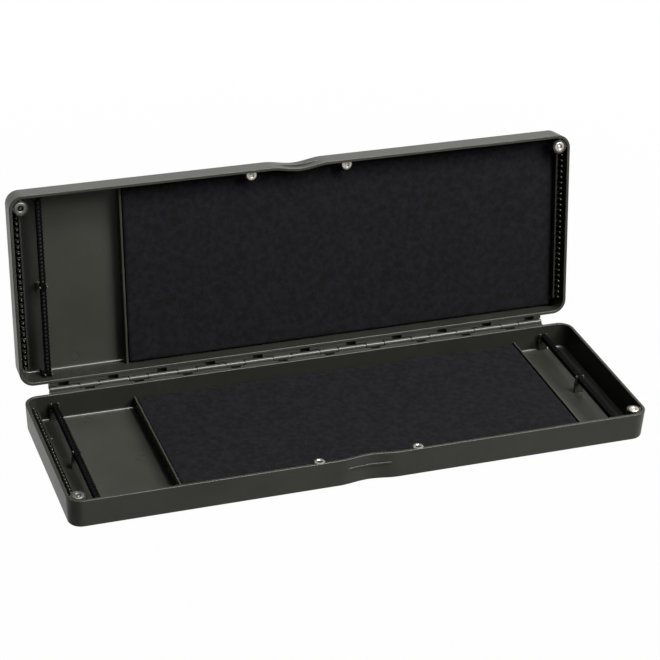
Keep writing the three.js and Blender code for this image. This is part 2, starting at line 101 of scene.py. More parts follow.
def rim_line():
    """The rim's outer edge seen from above, counter-clockwise from the front left corner."""
    cx, cy = HALF_LENGTH - CORNER_RADIUS, HALF_WIDTH - CORNER_RADIUS
    arcs = []
    for quarter, (x, y) in enumerate(((cx, -cy), (cx, cy), (-cx, cy), (-cx, -cy)), -1):
        for step in range(CORNER_STEPS + 1):
            angle = (quarter + step / CORNER_STEPS) * math.pi / 2
            arcs.append((x + CORNER_RADIUS * math.cos(angle), y + CORNER_RADIUS * math.sin(angle)))
    return front_line(0, -cx, cx)[:-1] + arcs[:-1]


def wire_loop(line):
    mesh = bpy.data.meshes.new("rim_line")
    count = len(line)
    mesh.from_pydata([(x, y, 0) for x, y in line], [(i, (i + 1) % count) for i in range(count)], [])
    return mesh


def feed(tree, node, inputs):
    """Gives a node its inputs, as numbers or as other nodes' sockets."""
    for key, given in dict(inputs).items():
        if isinstance(given, bpy.types.NodeSocket):
            tree.links.new(given, node.inputs[key])
        else:
            node.inputs[key].default_value = given


def place(tree, kind, inputs=(), **settings):
    """Adds a node to a tree."""
    node = tree.nodes.new(kind)
    for setting, choice in settings.items():
        setattr(node, setting, choice)
    feed(tree, node, inputs)
    return node


def made_by(tree, kind, inputs=(), **settings):
    """Adds a node and returns its first output."""
    return place(tree, kind, inputs, **settings).outputs[0]


def reckon(tree, operation, *numbers):
    return made_by(tree, "ShaderNodeMath", enumerate(numbers), operation=operation)


def open_tree(name, **sizes):
    """A Geometry Nodes tree whose inputs are a starting piece, named sizes or helpers, and a finish."""
    kinds = {float: "Float", int: "Int", tuple: "Vector", type(None): "Object"}
    tree = bpy.data.node_groups.new(name, "GeometryNodeTree")
    sockets = tree.interface
    sockets.new_socket("Start", in_out="INPUT", socket_type="NodeSocketGeometry")
    for size, usual in sizes.items():
        kind = "NodeSocket" + kinds[type(usual)]
        socket = sockets.new_socket(size.replace("_", " "), in_out="INPUT", socket_type=kind)
        socket.default_value = usual
    sockets.new_socket("Finish", in_out="INPUT", socket_type="NodeSocketMaterial")
    sockets.new_socket("Piece", in_out="OUTPUT", socket_type="NodeSocketGeometry")
    return tree, place(tree, "NodeGroupInput").outputs


def close_tree(tree, given, geometry):
    real = made_by(tree, "GeometryNodeRealizeInstances", {"Geometry": geometry})
    finished = made_by(tree, "GeometryNodeSetMaterial", {"Geometry": real, "Material": given["Finish"]})
    place(tree, "NodeGroupOutput", {"Piece": finished})


def set_out(name, data):
    """Puts a new object into the scene."""
    made = bpy.data.objects.new(name, data)
    scene.collection.objects.link(made)
    return made


def settled(worker):
    """The plain mesh that an object's modifiers make of it. The object is then taken away."""
    made = worker.evaluated_get(bpy.context.evaluated_depsgraph_get())
    mesh = bpy.data.meshes.new_from_object(made)
    bpy.data.objects.remove(worker)
    return mesh


def grown(tree, start, finish, **sizes):
    """Runs a tree on a starting mesh."""
    worker = set_out(tree.name, start)
    modifier = worker.modifiers.new(tree.name, "NODES")
    modifier.node_group = tree
    given = {"Finish": finish, **{size.replace("_", " "): number for size, number in sizes.items()}}
    for item in tree.interface.items_tree:
        if item.in_out == "INPUT" and item.name in given:
            modifier[item.identifier] = given[item.name]
    return settled(worker)


def swept_shell_tree():
    """Sweeps the wall's section along the rim. Its bends each have an inset, a depth and a radius."""
    tree, given = open_tree(
        "swept_tray_shell", Depth=base.depth, Wall=WALL, Floor=FLOOR, Draft=round(DRAFT, 4), Up=1.0,
        Floor_Border=3 * MM, Rim_Rounding=0.4 * MM, Inner_Fillet=1.8 * MM, Outer_Fillet=1.5 * MM,
    )
    slope = reckon(tree, "TANGENT", given["Draft"])
    inner_depth = reckon(tree, "SUBTRACT", given["Depth"], given["Floor"])
    inner_foot = reckon(tree, "MULTIPLY_ADD", inner_depth, slope, given["Wall"])
    outer_foot = reckon(tree, "MULTIPLY", given["Depth"], slope)
    bends = (
        (reckon(tree, "ADD", inner_foot, given["Floor Border"]), inner_depth, 0.0),
        (inner_foot, inner_depth, given["Inner Fillet"]),
        (given["Wall"], 0.0, given["Rim Rounding"]),
        (0.0, 0.0, given["Rim Rounding"]),
        (outer_foot, given["Depth"], given["Outer Fillet"]),
        (reckon(tree, "ADD", outer_foot, given["Floor Border"]), given["Depth"], 0.0),
    )
    count = len(bends)
    index = made_by(tree, "GeometryNodeInputIndex")
    corners = place(tree, "GeometryNodeIndexSwitch", {0: index}, data_type="VECTOR")
    radii = place(tree, "GeometryNodeIndexSwitch", {0: index}, data_type="FLOAT")
    for switch in (corners, radii):
        while len(switch.index_switch_items) < count:
            switch.index_switch_items.new()
    for i, (inset, depth, radius) in enumerate(bends, 1):
        x = reckon(tree, "MULTIPLY", inset, -1.0)
        y = reckon(tree, "MULTIPLY", depth, given["Up"])
        feed(tree, corners, {i: made_by(tree, "ShaderNodeCombineXYZ", {"X": x, "Y": y})})
        feed(tree, radii, {i: radius})
    line = made_by(tree, "GeometryNodeMeshLine", {"Count": count})
    bent = made_by(tree, "GeometryNodeSetPosition", {"Geometry": line, "Position": corners.outputs[0]})
    sharp = made_by(tree, "GeometryNodeMeshToCurve", {"Mesh": bent})
    fillets = {"Curve": sharp, "Count": FILLET_STEPS, "Radius": radii.outputs[0]}
    section = made_by(tree, "GeometryNodeFilletCurve", fillets, mode="POLY")
    loop = made_by(tree, "GeometryNodeMeshToCurve", {"Mesh": given["Start"]})
    rim = made_by(tree, "GeometryNodeSetCurveNormal", {"Curve": loop}, mode="Z_UP")
    swept = made_by(tree, "GeometryNodeCurveToMesh", {"Curve": rim, "Profile Curve": section})
    close_tree(tree, given, swept)
    return tree


def pick_up(*meshes):
    """Starts work on the shapes of some meshes together."""
    work = bmesh.new()
    for mesh in meshes:
        work.from_mesh(mesh)
    return work


def put_down(work, mesh=None):
    """Ends the work and keeps its shape in a mesh, or in a new one."""
    mesh = mesh or bpy.data.meshes.new("shape")
    work.to_mesh(mesh)
    work.free()
    return mesh


def close_rims(work):
    """Fills open rims and turns the faces outwards."""
    bmesh.ops.holes_fill(work, edges=[edge for edge in work.edges if edge.is_boundary], sides=0)
    bmesh.ops.recalc_face_normals(work, faces=work.faces)


def closed_up(mesh):
    """Makes a closed solid of a mesh with loose seams and open rims."""
    work = pick_up(mesh)
    bmesh.ops.remove_doubles(work, verts=work.verts, dist=WELD)
    close_rims(work)
    return put_down(work, mesh)


def open_material(name):
    """A new material with its tree, its shader and its piece's own coordinates."""
    material = bpy.data.materials.new(name)
    material.use_nodes = True
    tree = material.node_tree
    spot = place(tree, "ShaderNodeTexCoord").outputs["Object"]
    return material, tree, tree.nodes["Principled BSDF"], spot


def speckle(tree, spot, scale, detail, roughness=0.5):
    """Noise over a surface, of so many grains a metre."""
    inputs = {"Vector": spot, "Scale": scale, "Detail": detail, "Roughness": roughness}
    return made_by(tree, "ShaderNodeTexNoise", inputs)


def toned(tree, source, *stops):
    """Colours a value by a ramp between two stops, each a value and its colour."""
    ramp = place(tree, "ShaderNodeValToRGB", {"Fac": source})
    for stop, (at, colour) in zip(ramp.color_ramp.elements, stops):
        stop.position, stop.color = at, (*colour, 1)
    return ramp.outputs[0]


def ranged(tree, source, low, high, start=0.0, end=1.0):
    """Spreads a value between start and end over the range from low to high."""
    inputs = {"Value": source, "From Min": start, "From Max": end, "To Min": low, "To Max": high}
    return made_by(tree, "ShaderNodeMapRange", inputs)


FLOW_SCALE = 28.0
SPARK_SCALE = 1500.0
PIT_SCALE = 2600.0
PIT_DEPTH = 0.05 * MM
FLOW_SHARE = 0.7


def moulded_finish(name, dark, light, grain, roughness, shine=0.1):
    """Moulded plastic: slow tone shifts, and the fine sparked grain of the mould's steel."""
    material, tree, shader, spot = open_material(name)
    flow = reckon(tree, "MULTIPLY", speckle(tree, spot, FLOW_SCALE, 4.0, 0.6), FLOW_SHARE)
    blend = reckon(tree, "MULTIPLY_ADD", speckle(tree, spot, SPARK_SCALE, 2.0), 1 - FLOW_SHARE, flow)
    pits = {"Height": speckle(tree, spot, PIT_SCALE, 2.0, 0.55), "Strength": grain, "Distance": PIT_DEPTH}
    feed(tree, shader, {
        "Base Color": toned(tree, blend, (0.36, dark), (0.64, light)),
        "Roughness": ranged(tree, blend, roughness - 0.05, roughness + 0.06, 0.3, 0.7),
        "Normal": made_by(tree, "ShaderNodeBump", pits),
        "Specular IOR Level": shine,
    })
    return material


tray_plastic = moulded_finish(
    "tray_plastic", (0.050, 0.051, 0.041), (0.062, 0.063, 0.052), grain=0.35, roughness=0.33,
)
shell_tree = swept_shell_tree()


def tray_shell(tray):
    shell = grown(shell_tree, wire_loop(rim_line()), tray_plastic, Depth=tray.depth, Up=float(tray.up))
    shell.transform(Matrix.Translation((0, 0, tray.rim)))
    return closed_up(shell)


# Dividers: low ribs of the same plastic, moulded across each tray, with softened top edges. Two bound the
# foam pad's bay in the base and one in the lid, and they run into the front and rear walls.
DIVIDER_THICKNESS = 1.5 * MM
DIVIDER_BELOW_RIM = 9 * MM
DIVIDER_EDGE = 0.4 * MM
LEFT_DIVIDER_X = 69.9 * MM - HALF_LENGTH
RIGHT_DIVIDER_X = HALF_LENGTH - 38.9 * MM
SOFT_EDGE = 0.25 * MM


def softened(work, edges, radius):
    bmesh.ops.bevel(
        work, geom=edges, offset=radius, segments=3, profile=0.5, affect="EDGES", clamp_overlap=True,
    )


def block(a, b, radius=SOFT_EDGE):
    """A moulded block between two corners, with softened edges."""
    work = bmesh.new()
    bmesh.ops.create_cube(work, size=1)
    for vertex in work.verts:
        vertex.co = [(p + q) / 2 + t * abs(q - p) for p, q, t in zip(a, b, vertex.co)]
    if radius:
        softened(work, work.edges[:], radius)
    return put_down(work)


def divider(tray, x):
    half = DIVIDER_THICKNESS / 2
    reach = HALF_WIDTH - WALL / 2 - drawn_in(DIVIDER_BELOW_RIM)
    low, high = tray.level(tray.depth - FLOOR / 2), tray.level(DIVIDER_BELOW_RIM)
    return block((x - half, -reach, low), (x + half, reach, high), DIVIDER_EDGE)


# Rail posts: forked posts moulded on the floor at both ends and at the middle of each pin rail. Each has a
# thin plate that the rail rests on and two round-tipped prongs that grip it.
RAIL_X = HALF_LENGTH - 19 * MM
RAIL_BELOW_RIM = 5.3 * MM
RAIL_THICKNESS = 3.2 * MM
END_POST_Y = HALF_WIDTH - 4 * MM
POST_ROWS = (-END_POST_Y, 0, END_POST_Y)
POST_WIDTH = 6.2 * MM
POST_THICKNESS = 1.8 * MM
PRONG_RADIUS = 0.8 * MM
PRONG_SPREAD = 2.2 * MM
PRONG_SHIFTS = (-PRONG_SPREAD, PRONG_SPREAD)
PRONG_BELOW_RIM = 4.4 * MM
PRONG_ROOT = 0.9 * MM
CLEARANCE = 0.3 * MM


def turned(section, at, sides, along=(0, 0, 1)):
    """A round solid from its section's (radius, height) pairs, given from end to end or right round."""
    work = bmesh.new()
    turn = Vector((0, 0, 1)).rotation_difference(Vector(along)).to_matrix()
    rings = []
    for radius, rise in section:
        count = sides if radius else 1
        angles = [2 * math.pi * k / sides for k in range(count)]
        points = [Vector((radius * math.cos(a), radius * math.sin(a), rise)) for a in angles]
        rings.append([work.verts.new(Vector(at) + turn @ point) for point in points])
    for low, high in zip(rings, rings[1:]):
        for k in range(sides):
            j = (k + 1) % sides
            corners = [low[k % len(low)], low[j % len(low)], high[j % len(high)], high[k % len(high)]]
            work.faces.new(list(dict.fromkeys(corners)))
    if section[0] == section[-1]:
        bmesh.ops.remove_doubles(work, verts=work.verts, dist=WELD)
    else:
        for ring in (rings[0], rings[-1]):
            if len(ring) > 1:
                work.faces.new(ring)
    bmesh.ops.recalc_face_normals(work, faces=work.faces)
    return put_down(work)


def upright(tray, section, x, y, sides=40):
    """A round solid standing in a tray, with its section's heights counted from the rim."""
    return turned(section, (x, y, tray.rim), sides, (0, 0, tray.up))


def domed(radius, low, high, turns):
    """The section of a round prong or peg with a domed tip."""
    dome = [(radius * math.cos(turn), high + radius * (math.sin(turn) - 1)) for turn in turns]
    return [(radius, low), *dome, (0, high)]


def gathered(meshes):
    """Puts separate meshes into one."""
    return put_down(pick_up(*meshes))


def posts(tray, x):
    """The plates and the prongs of one rail's posts."""
    rail_foot = RAIL_BELOW_RIM + RAIL_THICKNESS
    seat, foot = tray.level(rail_foot + CLEARANCE), tray.level(tray.depth - FLOOR / 2)
    half = POST_WIDTH / 2
    inner, outer = END_POST_Y - POST_THICKNESS / 2, END_POST_Y + POST_THICKNESS / 2 + WALL / 2
    spans = ((-outer, -inner), (-POST_THICKNESS / 2, POST_THICKNESS / 2), (inner, outer))
    plates = [block((x - half, y0, foot), (x + half, y1, seat)) for y0, y1 in spans]
    section = domed(PRONG_RADIUS, -rail_foot - PRONG_ROOT, -PRONG_BELOW_RIM, (0, 0.4, 0.8, 1.2))
    prongs = [upright(tray, section, x + dx, y, 16) for y, dx in product(POST_ROWS, PRONG_SHIFTS)]
    return plates, prongs


# Magnet bosses: round cups moulded near the front corners, each tied to both walls by thin webs, and two
# smaller cups beside the thumb notch, which lie deeper in the lid, under the wall's whole rim. The closing
# magnets are pressed into their pockets, three of which keep a stud in the middle.
MAGNET_BELOW_RIM = 0.3 * MM
MAGNET_GAP = 0.1 * MM
MAGNET_HEIGHT = 3 * MM
MAGNET_RADIUS = 3.2 * MM
WIDE_MAGNET_RADIUS = 3.7 * MM
BOSS_BELOW_RIM = 0.4 * MM
BOSS_EDGE = 0.35 * MM
BOSS_INSIDE_WALL = 0.4 * MM
POCKET_EDGE = 0.1 * MM
CORNER_MAGNET = (HALF_LENGTH - 7.2 * MM, 7.9 * MM - HALF_WIDTH)
CORNER_BOSS_RADIUS = 4.5 * MM
CORNER_WEB = 1.4 * MM
FRONT_MAGNET = (31 * MM, 3.8 * MM - HALF_WIDTH)
FRONT_BOSS_RADIUS = 3.6 * MM
LID_FRONT_SUNK = 1.4 * MM
STUD_RADIUS = {"corner": 0.9 * MM, "front": 1.45 * MM}
STUD_BELOW_RIM = {"corner": 0.9 * MM, "front": 0.5 * MM}
OPEN_DISCS = ("base_left_front", "base_right_front", "lid_left_corner")
SIDES = (("left", -1), ("right", 1))
MAGNET_SEATS = (
    ("left", -1, "corner", CORNER_MAGNET, WIDE_MAGNET_RADIUS),
    ("left", -1, "front", FRONT_MAGNET, MAGNET_RADIUS),
    ("right", 1, "corner", CORNER_MAGNET, MAGNET_RADIUS),
    ("right", 1, "front", FRONT_MAGNET, MAGNET_RADIUS),
)


def sunk(tray, seat):
    """How much deeper than the others a seat's magnet lies."""
    return LID_FRONT_SUNK if tray is lid and seat == "front" else 0


def rounded_rim(radius, level, edge):
    """The end of a round section at a level, with its rim rounded over."""
    return [(radius, level - edge), (radius - 0.3 * edge, level - 0.3 * edge), (radius - edge, level)]


def boss(tray, x, y, radius, deeper=0):
    rim = rounded_rim(radius, -BOSS_BELOW_RIM - deeper, BOSS_EDGE)
    return upright(tray, [(radius, FLOOR / 2 - tray.depth), *rim], x, y)


def kept_inside_front_wall(tray, mesh):
    """Trims what would stand out through the drafted front wall."""
    work = pick_up(mesh)
    bmesh.ops.bisect_plane(
        work, geom=work.verts[:] + work.edges[:] + work.faces[:],
        plane_co=(0, BOSS_INSIDE_WALL - HALF_WIDTH, tray.rim),
        plane_no=(0, -math.cos(DRAFT), -tray.up * math.sin(DRAFT)), clear_outer=True,
    )
    close_rims(work)
    return put_down(work, mesh)


def bosses(tray):
    """The cups, and the webs that tie the corner ones to the end walls and to the front wall."""
    low, top = tray.level(tray.depth - FLOOR / 2), tray.level(BOSS_BELOW_RIM)
    x, y = CORNER_MAGNET
    half = CORNER_WEB / 2
    in_wall = WALL / 2 + drawn_in(tray.depth)
    wall_x, wall_y = HALF_LENGTH - in_wall, in_wall - HALF_WIDTH
    cups, webs, ties = [], [], []
    for side in (-1, 1):
        cups.append(boss(tray, side * x, y, CORNER_BOSS_RADIUS))
        front = boss(tray, side * FRONT_MAGNET[0], FRONT_MAGNET[1], FRONT_BOSS_RADIUS, sunk(tray, "front"))
        cups.append(kept_inside_front_wall(tray, front))
        webs.append(block((side * x, y - half, low), (side * wall_x, y + half, top)))
        ties.append(block((side * x - half, y, low), (side * x + half, wall_y, top)))
    return cups, webs, ties


def magnet_pockets(tray):
    """What is cut out of the bosses, with the studs left standing."""
    pockets = []
    for word, side, seat, (x, y), radius in MAGNET_SEATS:
        bore, deeper = radius + MAGNET_GAP, sunk(tray, seat)
        floor = -(MAGNET_BELOW_RIM + MAGNET_HEIGHT + MAGNET_GAP) - deeper
        mouth = -BOSS_BELOW_RIM - deeper
        end = mouth + 2 * MAGNET_GAP if deeper else MM
        wide = bore + POCKET_EDGE
        section = [(bore, floor), (bore, mouth - POCKET_EDGE), (wide, mouth), (wide, end)]
        if f"{tray.body}_{word}_{seat}" in OPEN_DISCS:
            stud, top = STUD_RADIUS[seat], -STUD_BELOW_RIM[seat]
            section = [(0, top), (stud, top), (stud, floor)] + section
        pockets.append(upright(tray, section, side * x, y))
    return pockets


# Thumb ledge: a crescent rib moulded outside the notch of both front walls, where the fingertip that lifts
# the lid catches.
LEDGE_HALF_LENGTH = 15 * MM
LEDGE_PROUD = 0.9 * MM
LEDGE_THICKNESS = 1.2 * MM
LEDGE_BELOW_RIM = 6.5 * MM
LEDGE_STEPS = 28


def pushed_up(outline, low, high, radius=0):
    """A solid on a plan outline between two heights, with softened upper and lower edges."""
    work = bmesh.new()
    floor = [work.verts.new((x, y, low)) for x, y in outline]
    roof = [work.verts.new((x, y, high)) for x, y in outline]
    work.faces.new(floor)
    work.faces.new(roof)
    for i in range(len(outline)):
        j = (i + 1) % len(outline)
        work.faces.new((floor[i], floor[j], roof[j], roof[i]))
    bmesh.ops.recalc_face_normals(work, faces=work.faces)
    if radius:
        softened(work, [e for e in work.edges if e.verts[0].co.z == e.verts[1].co.z], radius)
    return put_down(work)


def ledge(tray):
    underside = LEDGE_BELOW_RIM + LEDGE_THICKNESS
    wall = drawn_in(underside) - HALF_WIDTH
    outline = []
    for step in range(LEDGE_STEPS + 1):
        x = LEDGE_HALF_LENGTH * (2 * step / LEDGE_STEPS - 1)
        proud = LEDGE_PROUD * math.cos(math.pi * x / (2 * LEDGE_HALF_LENGTH))
        outline.append((x, wall + notch_bow(x) - proud))
    back = wall + WALL / 2 + NOTCH_DEPTH
    outline += [(LEDGE_HALF_LENGTH, back), (-LEDGE_HALF_LENGTH, back)]
    return pushed_up(outline, tray.level(underside), tray.level(LEDGE_BELOW_RIM), SOFT_EDGE)


# Hinge knuckles: round barrels on short arms along both rear edges, eleven on the base and ten on the lid,
# taking turns round one pin. A flange ties each row to its wall, with a slot behind each barrel of the
# other tray and a backing strip that closes the slots and reaches past the pin.
HINGE_Y = HALF_WIDTH + 4.1 * MM
HINGE_Z = base.rim + RIM_GAP / 2
HINGE_HALF_LENGTH = HALF_LENGTH - 17.8 * MM
BASE_KNUCKLE = 18.3 * MM
LID_KNUCKLE = 11.8 * MM
KNUCKLE_GAP = 0.6 * MM
KNUCKLE_PITCH = BASE_KNUCKLE + LID_KNUCKLE + 2 * KNUCKLE_GAP
KNUCKLE_RADIUS = 1.75 * MM
KNUCKLE_EDGE = 0.3 * MM
KNUCKLE_TURNS = 10
KNUCKLE_ROOM = KNUCKLE_RADIUS + 0.4 * MM
PIN_RADIUS = 1 * MM
ARM_BELOW_RIM = 0.3 * MM
BACKING_BELOW_RIM = KNUCKLE_ROOM - RIM_GAP / 2
BACKING_THICKNESS = 1.8 * MM
BACKING_MIDDLE = BACKING_BELOW_RIM + BACKING_THICKNESS / 2
BACKING_END = BACKING_BELOW_RIM + BACKING_THICKNESS
BACKING_PAST_PIN = {"base": 2.2 * MM, "lid": 0.3 * MM}
FLANGE_GAP = 0.2 * MM
FLANGE_EDGE = 0.2 * MM
SLOT_LENGTH = 6.4 * MM
SLOT_SKIN = 0.4 * MM
SLOT_EDGE = 0.1 * MM


def row_tree():
    """Repeats a part at equal steps."""
    tree, given = open_tree("row_of_like_parts", Count=10, First=(0.0, 0.0, 0.0), Step=(0.01, 0.0, 0.0))
    steps = {"Count": given["Count"], "Start Location": given["First"], "Offset": given["Step"]}
    line = made_by(tree, "GeometryNodeMeshLine", steps)
    row = made_by(tree, "GeometryNodeInstanceOnPoints", {"Points": line, "Instance": given["Start"]})
    close_tree(tree, given, row)
    return tree


row_of_parts = row_tree()


def rod(radius, low, high, edge):
    """The section of a round rod between two heights, with both rims rounded over."""
    rim = rounded_rim(radius, high, edge)
    return [(r, low + high - level) for r, level in reversed(rim)] + rim


def round_pin(section, sides):
    """A round solid on the pin's line, with its section's heights counted along x."""
    return turned(section, (0, HINGE_Y, HINGE_Z), sides, (1, 0, 0))


def barrel(length):
    return round_pin(rod(KNUCKLE_RADIUS, 0, length, KNUCKLE_EDGE), 32)


def strip_behind(tray, start, end, edge, near, far):
    """A strip from inside the rear wall to an edge, between two depths below the rim."""
    in_wall = HALF_WIDTH - WALL / 2
    return block((start, in_wall, tray.level(near)), (end, edge, tray.level(far)), FLANGE_EDGE)


def arm(tray, length):
    """The plate from the wall to a barrel, with its far side sunk in the backing."""
    return strip_behind(tray, 0, length, HINGE_Y, ARM_BELOW_RIM, BACKING_MIDDLE)


def flange_and_backing(tray):
    start, end = -HINGE_HALF_LENGTH, HINGE_HALF_LENGTH
    edge, far_edge = HINGE_Y - KNUCKLE_RADIUS - FLANGE_GAP, HINGE_Y + BACKING_PAST_PIN[tray.body]
    flange = strip_behind(tray, start, end, edge, ARM_BELOW_RIM, BACKING_MIDDLE)
    backing = strip_behind(tray, start, end, far_edge, BACKING_BELOW_RIM, BACKING_END)
    return flange, backing


def knuckle_rows(tray):
    """Barrels, arms and flange slots of one tray, each kind in one mesh."""
    start = -HINGE_HALF_LENGTH
    kinds = [(BASE_KNUCKLE, start), (LID_KNUCKLE, start + BASE_KNUCKLE + KNUCKLE_GAP)]
    (own, own_first), (other, other_first) = kinds if tray is base else reversed(kinds)
    step = (KNUCKLE_PITCH, 0, 0)

    def row(part, first):
        return grown(row_of_parts, part, tray_plastic, Count=KNUCKLE_TURNS, First=(first, 0, 0), Step=step)

    barrels, arms = [row(barrel(own), own_first)], [row(arm(tray, own), own_first)]
    last = start + KNUCKLE_TURNS * KNUCKLE_PITCH
    if tray is base:
        length = HINGE_HALF_LENGTH - last
        for parts, part in ((barrels, barrel(length)), (arms, arm(tray, length))):
            part.transform(Matrix.Translation((last, 0, 0)))
            parts.append(part)
    half = SLOT_LENGTH / 2
    mouth, end = tray.level(ARM_BELOW_RIM - MM), tray.level(BACKING_END - SLOT_SKIN)
    slot = block((-half, HALF_WIDTH, mouth), (half, HINGE_Y - CLEARANCE, end), SLOT_EDGE)
    slots = [row(slot, other_first + other / 2)]
    if tray is lid:
        slot.transform(Matrix.Translation(((last + HINGE_HALF_LENGTH) / 2, 0, 0)))
        slots.append(slot)
    return gathered(barrels), gathered(arms), gathered(slots)


def pin_bore():
    bore = PIN_RADIUS + CLEARANCE
    return round_pin([(bore, -HALF_LENGTH), (bore, HALF_LENGTH)], 24)


# Whole trays: each moulding with everything on it run together and marked by the mould's ejector pins. Its
# inner walls, end bay floors, hinge slots and the dividers' left faces take a darker, smoother copy of the
# plastic, whose darker colour is painted shade. The lid is made closed and then turned open about the pin.
OPEN_ANGLE = math.radians(98)
EJECTOR_RADIUS = 3.2 * MM
EJECTOR_RING = 0.35 * MM
EJECTOR_DEPTH = 0.16 * MM
EJECTOR_SIDES = 36
SHARP_FROM = math.radians(32)
OPENING = (
    Matrix.Translation((0, HINGE_Y, HINGE_Z))
    @ Matrix.Rotation(-OPEN_ANGLE, 4, "X")
    @ Matrix.Translation((0, -HINGE_Y, -HINGE_Z))
)


def worked(start, joins=(), cuts=()):
    """Runs solids together with a start, then cuts others out of it."""
    worker = set_out("worked", start)
    helpers = []
    for operation, meshes in (("UNION", joins), ("DIFFERENCE", cuts)):
        for mesh in meshes:
            helper = set_out("helper", mesh)
            modifier = worker.modifiers.new(operation.lower(), "BOOLEAN")
            modifier.operation, modifier.solver, modifier.object = operation, "MANIFOLD", helper
            helpers.append(helper)
    mesh = settled(worker)
    for helper in helpers:
        bpy.data.objects.remove(helper)
    return mesh


def ejector_marks(tray, places):
    """Shallow rings to cut out of a tray's floor."""
    radius, inner = EJECTOR_RADIUS, EJECTOR_RADIUS - EJECTOR_RING
    floor = FLOOR - tray.depth
    rings = []
    for x, y in places:
        disc = upright(tray, [(radius, floor - EJECTOR_DEPTH), (radius, floor + MM)], x, y, EJECTOR_SIDES)
        core = upright(tray, [(inner, floor - MM), (inner, floor + 2 * MM)], x, y, EJECTOR_SIDES)
        rings.append(worked(disc, cuts=[core]))
    return gathered(rings)


def smooth_faced(mesh):
    """Shades curved faces smooth and keeps flat faces flat."""
    mesh.shade_smooth()
    mesh.set_sharp_from_angle(angle=SHARP_FROM)
    worker = set_out("smooth_faced", mesh)
    worker.modifiers.new("flats", "WEIGHTED_NORMAL").keep_sharp = True
    return settled(worker)


def piece(name, mesh, finish, body, slot, *nodes):
    """Hangs a mesh on its body, in place of the CAD nodes it stands for. The lid's are turned open."""
    if body == "lid":
        mesh.transform(OPENING)
    mesh = smooth_faced(mesh)
    mesh.name = name
    mesh.materials.clear()
    mesh.materials.append(finish)
    made = set_out(name, mesh)
    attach(made, body)
    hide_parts(*nodes)
    return made


# Bounds of the painted shade: end bay floors past these x, and inner faces set by these distances from the
# rim, the pin and the walls.
END_BAY_EDGES = {"base": (6 * MM - RAIL_X, RAIL_X + 6 * MM), "lid": (3 * MM - RAIL_X,)}
SHADE_PAINT_FROM_RIM = 0.5 * MM
SHADE_PAINT_FROM_PIN = KNUCKLE_RADIUS + 0.1 * MM
SHADE_PAINT_REACH = 5 * MM
SQUARELY = 0.7
LEVEL = 0.99
FLATNESS = 0.05 * MM


def on_floor(tray, at, facing):
    """Whether a face of a closed tray lies flat on its floor."""
    return tray.up * facing.z > LEVEL and abs(at.z - tray.level(tray.depth - FLOOR)) < FLATNESS


def parted_at_end_bays(tray, mesh):
    """Splits a tray's floor under the rails, where the end bays' painted shade starts."""
    work = pick_up(mesh)
    for x in END_BAY_EDGES[tray.body]:
        floor = [face for face in work.faces if on_floor(tray, face.calc_center_median(), face.normal)]
        edges = dict.fromkeys(edge for face in floor for edge in face.edges)
        verts = dict.fromkeys(vertex for face in floor for vertex in face.verts)
        bmesh.ops.bisect_plane(work, geom=[*verts, *edges, *floor], plane_co=(x, 0, 0), plane_no=(1, 0, 0))
    return put_down(work, mesh)


def whole_tray(tray, dividers, rails, marks):
    plates, prongs = map(sum, zip(*(posts(tray, x) for x in rails)), ([], []))
    cups, webs, ties = bosses(tray)
    barrels, arms, slots = knuckle_rows(tray)
    ribs = [divider(tray, x) for x in dividers]
    joins = [*map(gathered, (ribs, plates, prongs, cups, webs, ties)), ledge(tray)]
    joins += [*flange_and_backing(tray), arms, barrels]
    cuts = [slots, pin_bore(), gathered(magnet_pockets(tray)), ejector_marks(tray, marks)]
    return parted_at_end_bays(tray, worked(tray_shell(tray), joins, cuts))


# A darker, smoother copy of the tray plastic. Its darker colour is painted shade, given to shaded inner
# faces, end bay floors, hinge slots, the dividers' left faces and the combs.
painted_shade_plastic = moulded_finish(
    "tray_plastic_polished", (0.028, 0.0285, 0.023), (0.034, 0.0345, 0.028), grain=0.1, roughness=0.24,
)


def looks_inward(place, facing, half):
    """Whether a face near one end of a tray's length or width looks back towards the middle."""
    return half - abs(place) < SHADE_PAINT_REACH and facing * place < -SQUARELY * abs(place)


def paint_shade_inside(made, tray):
    """Paints shade on a tray's inner walls, end bays, hinge slots and the left faces of its dividers."""
    made.data.materials.append(painted_shade_plastic)
    closed = OPENING.inverted() if tray is lid else Matrix()
    turn = closed.to_3x3()
    left_edge, *right_edges = END_BAY_EDGES[tray.body]
    for face in made.data.polygons:
        at, facing = closed @ face.center, turn @ face.normal
        below = tray.up * (tray.rim - at.z)
        on_wall = looks_inward(at.x, facing.x, HALF_LENGTH) or looks_inward(at.y, facing.y, HALF_WIDTH)
        from_rib = min(abs(at.x - x) for x in (LEFT_DIVIDER_X, RIGHT_DIVIDER_X))
        on_rib = from_rib < DIVIDER_THICKNESS and facing.x < -SQUARELY
        from_pin = math.hypot(at.y - HINGE_Y, at.z - HINGE_Z)
        in_slot = at.y > HALF_WIDTH and from_pin > SHADE_PAINT_FROM_PIN and below < BACKING_END
        inside = SHADE_PAINT_FROM_RIM < below < tray.depth - FLOOR
        in_end_bay = at.x < left_edge or any(at.x > edge for edge in right_edges)
        if (in_end_bay and on_floor(tray, at, facing)) or (inside and (on_wall or on_rib or in_slot)):
            face.material_index = 1


